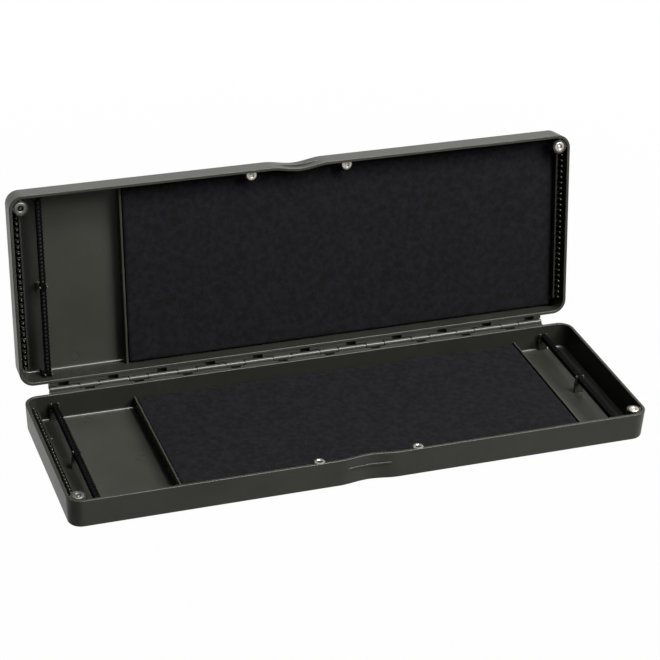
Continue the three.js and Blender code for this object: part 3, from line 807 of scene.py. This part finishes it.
left_marks = [(-145 * MM, 51 * MM), (-145 * MM, -50 * MM)]
base_marks = left_marks + [(-124 * MM, 0), (153 * MM, 50 * MM), (153 * MM, -50 * MM)]
base_moulding = whole_tray(base, (LEFT_DIVIDER_X, RIGHT_DIVIDER_X), (-RAIL_X, RAIL_X), base_marks)
made = piece("base_tray_moulding", base_moulding, tray_plastic, "base", "tray_plastic", "base_tray")
paint_shade_inside(made, base)
lid_moulding = whole_tray(lid, (LEFT_DIVIDER_X,), (-RAIL_X,), left_marks)
made = piece("lid_tray_moulding", lid_moulding, tray_plastic, "lid", "tray_plastic", "lid_tray")
paint_shade_inside(made, lid)

# Hinge pin: one straight length of drawn steel wire, pushed through all the knuckles and held by those of
# the base. Its cut ends are rounded over.
PIN_END = 0.3 * MM
DRAW_LINES = 5000.0
DRAW_STRETCH = 0.02


def drawn_wire():
    """Steel with fine lines along it, as drawing leaves them. Its very dark tone is painted shade for the
    knuckle gaps.
    """
    material, tree, shader, spot = open_material("pin_steel")
    drawn = made_by(tree, "ShaderNodeMapping", {"Vector": spot, "Scale": (DRAW_STRETCH, 1, 1)})
    lines = speckle(tree, drawn, DRAW_LINES, 2.0)
    tone = toned(tree, lines, (0.3, (0.04, 0.04, 0.0408)), (0.7, (0.07, 0.07, 0.0714)))
    feed(tree, shader, {"Metallic": 1, "Base Color": tone, "Roughness": ranged(tree, lines, 0.45, 0.6)})
    return material


pin = round_pin(rod(PIN_RADIUS, -HINGE_HALF_LENGTH, HINGE_HALF_LENGTH, PIN_END), 24)
piece("hinge_pin_wire", pin, drawn_wire(), "base", "pin_steel", "hinge_pin")

# Foam pads: sheets of charcoal closed-cell foam, die-cut to the bay with clear cuts round the bosses and
# the notch, and glued to the floor. The cut edges are slightly soft and the skin isn't quite flat.
FOAM_THICKNESS = 6.8 * MM
FOAM_CLEARANCE = 0.6 * MM
FOAM_VOXEL = 1.1 * MM
FOAM_WAVES = 0.12 * MM
FOAM_WAVE_LENGTH = 14 * MM
FOAM_DARK = (0.0086, 0.0090, 0.0086)
FOAM_LIGHT = (0.0152, 0.0143, 0.0180)
MOTTLE_SCALE = 260.0
CELL_SCALE = 1500.0
CELL_DEPTH = 0.12 * MM


def closed_cell_foam():
    """Matt foam, mottled between two charcoals and pitted by its cut cells."""
    material, tree, shader, spot = open_material("foam")
    mottle = toned(tree, speckle(tree, spot, MOTTLE_SCALE, 4.0, 0.6), (0.36, FOAM_DARK), (0.64, FOAM_LIGHT))
    cells = place(tree, "ShaderNodeTexVoronoi", {"Vector": spot, "Scale": CELL_SCALE}).outputs["Distance"]
    pores = ranged(tree, cells, 0.75, 1.15, end=0.6)
    dotted = made_by(tree, "ShaderNodeVectorMath", {0: mottle, "Scale": pores}, operation="SCALE")
    bump = made_by(tree, "ShaderNodeBump", {"Height": cells, "Strength": 0.5, "Distance": CELL_DEPTH})
    feed(tree, shader, {"Base Color": dotted, "Normal": bump, "Roughness": 0.7, "Specular IOR Level": 0.02})
    return material


def foam_pad(tray, start, end):
    """A pad between two x, from the front wall to the rear wall."""
    inset = WALL + drawn_in(tray.depth) + FOAM_CLEARANCE
    rear = HALF_WIDTH - inset
    near = tray.depth - FLOOR - CLEARANCE
    top = tray.level(near - FOAM_THICKNESS)
    outline = front_line(inset, start, end) + [(end, rear), (start, rear)]
    sheet = pushed_up(outline, *sorted((tray.level(near), top)))
    cutters = []
    for side in (-1, 1):
        for (x, y), radius in ((FRONT_MAGNET, FRONT_BOSS_RADIUS), (CORNER_MAGNET, CORNER_BOSS_RADIUS)):
            if start < side * x < end + radius:
                hole = [(radius + FOAM_CLEARANCE, -tray.depth), (radius + FOAM_CLEARANCE, 0)]
                cutters.append(upright(tray, hole, side * x, y))
    worker = set_out("foam", worked(sheet, cuts=[gathered(cutters)]))
    remesh = worker.modifiers.new("cells", "REMESH")
    remesh.mode, remesh.voxel_size = "VOXEL", FOAM_VOXEL
    soft = worker.modifiers.new("soft_edges", "SMOOTH")
    soft.factor, soft.iterations = 0.5, 2
    pad = settled(worker)
    for vertex in pad.vertices:
        if abs(vertex.co.z - top) < FOAM_THICKNESS / 2:
            wave = 0.5 + 0.5 * noise.noise(vertex.co / FOAM_WAVE_LENGTH)
            vertex.co.z -= tray.up * FOAM_WAVES * wave
    return pad


foam = closed_cell_foam()
pad_start = LEFT_DIVIDER_X + DIVIDER_THICKNESS / 2 + CLEARANCE
COMB_X = HALF_LENGTH - 6.9 * MM
COMB_SPINE = 1.2 * MM
base_pad = foam_pad(base, pad_start, RIGHT_DIVIDER_X - DIVIDER_THICKNESS / 2 - CLEARANCE)
piece("base_foam_sheet", base_pad, foam, "base", "foam", "base_foam_pad")
lid_pad = foam_pad(lid, pad_start, COMB_X - COMB_SPINE / 2 - CLEARANCE)
piece("lid_foam_sheet", lid_pad, foam, "lid", "foam", "lid_foam_pad")

# Combs: moulded strips that snap in along the end walls. A low spine carries a row of round pegs on thin
# webs, and the hooklinks' loops are laid between the pegs. The base's comb also has a small clip.
COMB_BELOW_RIM = 4.6 * MM
COMB_FOOT = 1.5 * MM
COMB_PITCH = 3.75 * MM
COMB_EDGE = 0.2 * MM
COMB_FRONT_Y = CORNER_MAGNET[1] + CORNER_BOSS_RADIUS + 1 * MM
COMB_REAR_Y = HALF_WIDTH - 9 * MM
WEB_THICKNESS = 1.2 * MM
WEB_BELOW_SPINE = 0.8 * MM
WEB_EDGE = 0.15 * MM
PEG_REACH = 2.4 * MM
PEG_RADIUS = 0.85 * MM
PEG_BELOW_RIM = 1.9 * MM
CLIP_Y = 18 * MM
CLIP_HALF_WIDTH = 1.2 * MM
CLIP_REACH = 0.9 * MM
CLIP_HEIGHT = 1.6 * MM


def comb(tray, side, clipped=False):
    """A comb for the left (-1) or right (1) end wall."""
    seat = tray.depth - FLOOR - CLEARANCE
    foot, foot_top = tray.level(seat), tray.level(seat - COMB_FOOT)
    top, web_top = tray.level(COMB_BELOW_RIM), tray.level(COMB_BELOW_RIM + WEB_BELOW_SPINE)
    spine, peg_x = side * COMB_X, side * (COMB_X + PEG_REACH)
    half, half_web = COMB_SPINE / 2, WEB_THICKNESS / 2
    strip = block((spine - half, COMB_FRONT_Y, foot), (spine + half, COMB_REAR_Y, top), COMB_EDGE)
    sole_end = (peg_x + side * PEG_RADIUS, COMB_REAR_Y, foot_top)
    sole = block((spine, COMB_FRONT_Y, foot), sole_end, WEB_EDGE)
    web = block((spine, -half_web, foot), (peg_x, half_web, web_top), WEB_EDGE)
    section = domed(PEG_RADIUS, 0, seat - PEG_BELOW_RIM, (0, 0.5, 1.05))
    peg = turned(section, (peg_x, 0, foot), 12, (0, 0, tray.up))
    first = COMB_FRONT_Y + PEG_RADIUS
    count = 1 + int((COMB_REAR_Y - COMB_FRONT_Y - 2 * PEG_RADIUS) / COMB_PITCH)
    sizes = {"Count": count, "First": (0, first, 0), "Step": (0, COMB_PITCH, 0)}
    joins = [sole, *(grown(row_of_parts, part, painted_shade_plastic, **sizes) for part in (web, peg))]
    if clipped:
        inner, low = side * (COMB_X - half - CLIP_REACH), tray.level(COMB_BELOW_RIM + CLIP_HEIGHT)
        corner = (inner, CLIP_Y - CLIP_HALF_WIDTH, low)
        joins.append(block(corner, (spine, CLIP_Y + CLIP_HALF_WIDTH, top), COMB_EDGE))
    return worked(strip, joins)


# The combs take the darker copy of the tray plastic, as painted shade for the narrow gap along the end
# walls.
strip = comb(base, -1, True)
piece("base_left_comb_strip", strip, painted_shade_plastic, "base", "tray_plastic", "base_left_comb")
for word, side in SIDES:
    strip = comb(lid, side)
    piece(f"lid_{word}_comb_strip", strip, painted_shade_plastic, "lid", "tray_plastic", f"lid_{word}_comb")

# Pin rails: black moulded strips of joined rings, pinched between the holes, with a thin face and a hollow
# back. The rig pins are pushed into the holes. The posts' prongs grip notches in each rail's sides.
RAIL_HALF_WIDTH = 1.9 * MM
RAIL_NECK = 1.5 * MM
RAIL_PITCH = 2.5 * MM
RAIL_HOLE = 0.75 * MM
HOLE_EDGE = 0.12 * MM
HOLE_FLARE = 1.2
RAIL_EDGE = 0.2 * MM
RAIL_FACE = 0.8 * MM
RAIL_END_GAP = 0.6 * MM
RAIL_OVERLAP = 0.1 * MM
HOLLOW_HALF_WIDTH = 1.15 * MM
SOLID_AT_POST = 2.2 * MM


def link_outline():
    """A link's outline. Each point says whether the edge after it is a free side."""
    reach = RAIL_PITCH / 2
    bulge_x, bulge_y = 0.93 * RAIL_HALF_WIDTH, 0.56 * reach
    joint = [(x, reach, False) for x in (RAIL_NECK, RAIL_NECK / 2, 0, -RAIL_NECK / 2)]
    half = [
        (RAIL_HALF_WIDTH, 0, True), (bulge_x, bulge_y, True), *joint,
        (-RAIL_NECK, reach, True), (-bulge_x, bulge_y, True),
    ]
    return half + [(-x, -y, free) for x, y, free in half]


def link(drilled):
    """One link of a pin rail, open where the next link joins it."""
    outline = link_outline()
    work = bmesh.new()

    def ring(points):
        return [work.verts.new(point) for point in points]

    def skin(rings, free_only):
        for upper, lower in zip(rings, rings[1:]):
            for i, (_, _, free) in enumerate(outline):
                j = (i + 1) % len(outline)
                if free or not free_only:
                    work.faces.new((upper[i], upper[j], lower[j], lower[i]))

    inset = [(x - math.copysign(RAIL_EDGE, x) * (abs(x) >= RAIL_NECK), y) for x, y, _ in outline]
    roof = ring((x, y, RAIL_THICKNESS) for x, y in inset)
    shoulder = ring((x, y, RAIL_THICKNESS - RAIL_EDGE) for x, y, _ in outline)
    hem = ring((x, y, RAIL_EDGE) for x, y, _ in outline)
    floor = ring((x, y, 0) for x, y in inset)
    skin([roof, shoulder, hem, floor], True)
    if drilled:
        angles = [math.atan2(y, x) for x, y, _ in outline]
        radii = (HOLE_FLARE * RAIL_HOLE, RAIL_HOLE, RAIL_HOLE, HOLE_FLARE * RAIL_HOLE)
        levels = (0, HOLE_EDGE, RAIL_THICKNESS - HOLE_EDGE, RAIL_THICKNESS)
        bores = [ring((r * math.cos(a), r * math.sin(a), z) for a in angles) for r, z in zip(radii, levels)]
        skin([floor, *bores, roof], False)
    else:
        work.faces.new(roof)
        work.faces.new(floor)
    bmesh.ops.delete(work, geom=[v for v in work.verts if not v.link_faces], context="VERTS")
    return put_down(work)


def rail_tree():
    """Joins links in a row, all drilled but for a few blind ones at the middle."""
    tree, given = open_tree("row_of_links", Count=44, Pitch=RAIL_PITCH, Blind=2, Blind_Link=None)
    span = reckon(tree, "MULTIPLY", reckon(tree, "SUBTRACT", given["Count"], 1.0), given["Pitch"])
    first = made_by(tree, "ShaderNodeCombineXYZ", {"Y": reckon(tree, "MULTIPLY", span, -0.5)})
    step = made_by(tree, "ShaderNodeCombineXYZ", {"Y": given["Pitch"]})
    steps = {"Count": given["Count"], "Start Location": first, "Offset": step}
    line = made_by(tree, "GeometryNodeMeshLine", steps)
    at = made_by(tree, "GeometryNodeInputPosition")
    along = place(tree, "ShaderNodeSeparateXYZ", {0: at}).outputs["Y"]
    reach = reckon(tree, "MULTIPLY", reckon(tree, "MULTIPLY", given["Blind"], given["Pitch"]), 0.5)
    is_blind = reckon(tree, "LESS_THAN", reckon(tree, "ABSOLUTE", along), reach)
    is_drilled = reckon(tree, "SUBTRACT", 1.0, is_blind)
    blind = place(tree, "GeometryNodeObjectInfo", {"Object": given["Blind Link"]}).outputs["Geometry"]
    both = place(tree, "GeometryNodeJoinGeometry")
    for which, part in ((is_drilled, given["Start"]), (is_blind, blind)):
        row = {"Points": line, "Selection": which, "Instance": part}
        feed(tree, both, {0: made_by(tree, "GeometryNodeInstanceOnPoints", row)})
    close_tree(tree, given, both.outputs[0])
    return tree


links_tree = rail_tree()
rail_plastic = moulded_finish(
    "rail_plastic", (0.0016, 0.0016, 0.0018), (0.0026, 0.0026, 0.0028),
    grain=0.3, roughness=0.5, shine=0.02,
)


def pin_rail(tray, x):
    """A row of links with plain ends, notched for the prongs and hollow between the posts."""
    depth = RAIL_BELOW_RIM + RAIL_THICKNESS
    end = HALF_WIDTH - WALL - drawn_in(depth) - RAIL_END_GAP
    count = int(2 * (end - RAIL_PITCH) / RAIL_PITCH)
    blind = set_out("blind_link", link(False))
    strip = grown(links_tree, link(True), rail_plastic, Count=count, Pitch=RAIL_PITCH, Blind_Link=blind)
    bpy.data.objects.remove(blind)
    joint = count * RAIL_PITCH / 2 - RAIL_OVERLAP
    near, far = SOLID_AT_POST, END_POST_Y - SOLID_AT_POST
    low, high = (-MM, RAIL_THICKNESS - RAIL_FACE) if tray is base else (RAIL_FACE, RAIL_THICKNESS + MM)
    neck, hollow = RAIL_NECK, HOLLOW_HALF_WIDTH
    ends, hollows = [], []
    for side in (-1, 1):
        ends.append(block((-neck, side * joint, 0), (neck, side * end, RAIL_THICKNESS), RAIL_EDGE))
        hollows.append(block((-hollow, side * near, low), (hollow, side * far, high), 0))
    grip = [(PRONG_RADIUS + CLEARANCE, -MM), (PRONG_RADIUS + CLEARANCE, RAIL_THICKNESS + MM)]
    grips = [turned(grip, (dx, y, 0), 20) for y, dx in product(POST_ROWS, PRONG_SHIFTS)]
    strip = worked(closed_up(strip), [gathered(ends)], [gathered(grips), gathered(hollows)])
    strip.transform(Matrix.Translation((x, 0, min(tray.level(RAIL_BELOW_RIM), tray.level(depth)))))
    return strip


for word, side in SIDES:
    rail = pin_rail(base, side * RAIL_X)
    piece(f"base_{word}_rail_strip", rail, rail_plastic, "base", "rail_plastic", f"base_{word}_pin_rail")
rail = pin_rail(lid, -RAIL_X)
piece("lid_left_rail_strip", rail, rail_plastic, "lid", "rail_plastic", "lid_left_pin_rail")

# Closing magnets: nickel-plated discs pressed into their bosses, wider at the left corners than elsewhere.
# Their faces lie just under the rim, or deeper at the lid's front. Three are open rings over a stud, and a
# rivet's head closes the others.
MAGNET_EDGE = 0.35 * MM
HOLE_SHARE = 0.5
HOLE_BEVEL = 0.2 * MM
RIVET_SHARE = 0.26
RIVET_SUNK = 0.9 * MM
RIVET_SIDE = 0.4 * MM
HAZE_SCALE = 260.0


def nickel_plate(name, dark, light, roughness):
    """Plating with a slight haze."""
    material, tree, shader, spot = open_material(name)
    haze = speckle(tree, spot, HAZE_SCALE, 3.0)
    tone = toned(tree, haze, (0.35, dark), (0.65, light))
    gloss = ranged(tree, haze, roughness, roughness + 0.1)
    feed(tree, shader, {"Metallic": 1, "Base Color": tone, "Roughness": gloss})
    return material


def magnet(tray, x, y, radius, is_open, deeper):
    """A disc with a hole, either an open ring or closed by the head of its rivet."""
    top, edge = -MAGNET_BELOW_RIM - deeper, MAGNET_EDGE
    bottom = top - MAGNET_HEIGHT
    hole = HOLE_SHARE * radius
    section = [
        (radius - edge, bottom), (radius, bottom + edge), (radius, top - edge),
        (radius - 0.12 * edge, top - 0.5 * edge), (radius - 0.5 * edge, top - 0.12 * edge),
        (radius - edge, top), (hole + HOLE_BEVEL, top), (hole, top - HOLE_BEVEL),
    ]
    if is_open:
        section = [(hole, bottom), *section, (hole, bottom)]
    else:
        head, low = RIVET_SHARE * radius, top - RIVET_SUNK
        high = low + RIVET_SIDE
        section += [(hole - HOLE_BEVEL, low), (head, low), (head, high)]
        section.append((head - HOLE_BEVEL, high + HOLE_BEVEL))
    return upright(tray, section, x, y)


nickel = nickel_plate("magnet_nickel", (0.31, 0.29, 0.265), (0.38, 0.36, 0.33), 0.3)
# A much darker copy of the plating, as painted shade on the left corner discs for the dark surroundings
# they reflect.
painted_shade_nickel = nickel_plate("magnet_nickel_dull", (0.055, 0.056, 0.05), (0.09, 0.091, 0.082), 0.45)
for tray, (word, side, seat, (x, y), radius) in product((base, lid), MAGNET_SEATS):
    spot = f"{tray.body}_{word}_{seat}"
    disc = magnet(tray, side * x, y, radius, spot in OPEN_DISCS, sunk(tray, seat))
    plating = painted_shade_nickel if (word, seat) == ("left", "corner") else nickel
    piece(f"{spot}_magnet_disc", disc, plating, tray.body, "magnet_nickel", f"{spot}_magnet")

# Studio: a plain pale floor under the box and four soft lamps round it. The floor shows almost white, as
# the background does, and keeps the box's shadow.
FLOOR_REACH = 4
FLOOR_HEIGHT = -0.05 * MM
FLOOR_GREY = 0.2
WORLD_LIGHT = 0.011
WHITE = (1, 1, 1, 1)


def looked_at(tree):
    """1 where the camera, gloss or glass looks, and 0 where light is gathered."""
    rays = place(tree, "ShaderNodeLightPath").outputs
    in_gloss = reckon(tree, "MAXIMUM", rays["Is Glossy Ray"], rays["Is Transmission Ray"])
    return reckon(tree, "MAXIMUM", rays["Is Camera Ray"], in_gloss)


def pale_floor():
    """White to the eye and slightly less so near the box, grey to the light, and clear from below."""
    material, tree, shader, spot = open_material("studio_floor")
    tree.nodes.remove(shader)
    away = place(tree, "ShaderNodeVectorMath", {0: spot}, operation="LENGTH").outputs["Value"]
    share = reckon(tree, "MULTIPLY", looked_at(tree), ranged(tree, away, 0.985, 1.0, 0.25, 0.7))
    matt = made_by(tree, "ShaderNodeBsdfDiffuse", {"Color": (FLOOR_GREY, FLOOR_GREY, FLOOR_GREY, 1)})
    white = made_by(tree, "ShaderNodeEmission", {"Color": WHITE, "Strength": 1.0})
    mixed = made_by(tree, "ShaderNodeMixShader", {0: share, 1: matt, 2: white})
    clear = made_by(tree, "ShaderNodeBsdfTransparent")
    below = place(tree, "ShaderNodeNewGeometry").outputs["Backfacing"]
    shown = made_by(tree, "ShaderNodeMixShader", {0: below, 1: mixed, 2: clear})
    feed(tree, tree.nodes["Material Output"], {"Surface": shown})
    return material


floor_mesh = bpy.data.meshes.new("studio_floor")
plan = ((-1, -1), (1, -1), (1, 1), (-1, 1))
corners = [(x * FLOOR_REACH, y * FLOOR_REACH, FLOOR_HEIGHT) for x, y in plan]
floor_mesh.from_pydata(corners, [], [(0, 1, 2, 3)])
floor_mesh.materials.append(pale_floor())
floor = set_out("studio_floor", floor_mesh)

world = bpy.data.worlds.new("studio")
scene.world = world
world.use_nodes = True
sky = world.node_tree
strength = ranged(sky, looked_at(sky), WORLD_LIGHT, 1.0)
feed(sky, sky.nodes["Background"], {"Color": WHITE, "Strength": strength})


def soft_box(name, at, towards, width, height, power):
    """A flat studio lamp, level from left to right, that faces a point."""
    lamp = bpy.data.lights.new(name, "AREA")
    lamp.shape, lamp.size, lamp.size_y, lamp.energy = "RECTANGLE", width, height, power
    holder = set_out(name, lamp)
    holder.location = at
    away = (Vector(at) - Vector(towards)).normalized()
    across = Vector((0, 0, 1)).cross(away).normalized()
    upwards = away.cross(across)
    holder.rotation_euler = Matrix((across, upwards, away)).transposed().to_euler()
    return holder


soft_box("top_box", at=(0.5, -0.465, 1.54), towards=(0, 0, 0.02), width=0.35, height=0.35, power=14)
soft_box("front_box", at=(1.8, -1.39, 1.82), towards=(0, 0, 0.05), width=1.3, height=1.3, power=76)
edge_strip = soft_box(
    "edge_strip", at=(0.45, -0.55, 1.45), towards=(0.45, 0, 0.02), width=1.0, height=0.6, power=200,
)
edge_strip.visible_diffuse = False
rear_box = soft_box("rear_box", at=(0, 2.2, 0.7), towards=(0, 0.08, 0.07), width=0.6, height=0.6, power=32)
rear_box.visible_glossy = False

# Camera: a long lens at the photograph's angle, a little turned about its own axis. Its place is measured
# along its own right, up and back from the middle of the base's underside.
AZIMUTH, ELEVATION, ROLL = (math.radians(angle) for angle in (-20.237, 28.875, 2.283))
LENS = 122.61
MOVED_RIGHT = -3.915 * MM
MOVED_UP = 62.335 * MM
MOVED_BACK = 1385.974 * MM
level_back = Vector((math.sin(AZIMUTH), -math.cos(AZIMUTH), 0))
level_right = Vector((math.cos(AZIMUTH), math.sin(AZIMUTH), 0))
back = math.cos(ELEVATION) * level_back + math.sin(ELEVATION) * Vector((0, 0, 1))
level_up = back.cross(level_right)
right = math.cos(ROLL) * level_right + math.sin(ROLL) * level_up
up = math.cos(ROLL) * level_up - math.sin(ROLL) * level_right
camera = set_out("camera", bpy.data.cameras.new("camera"))
camera.data.lens = LENS
camera.matrix_world = Matrix((right, up, back)).transposed().to_4x4()
camera.location = MOVED_RIGHT * right + MOVED_UP * up + MOVED_BACK * back
scene.camera = camera
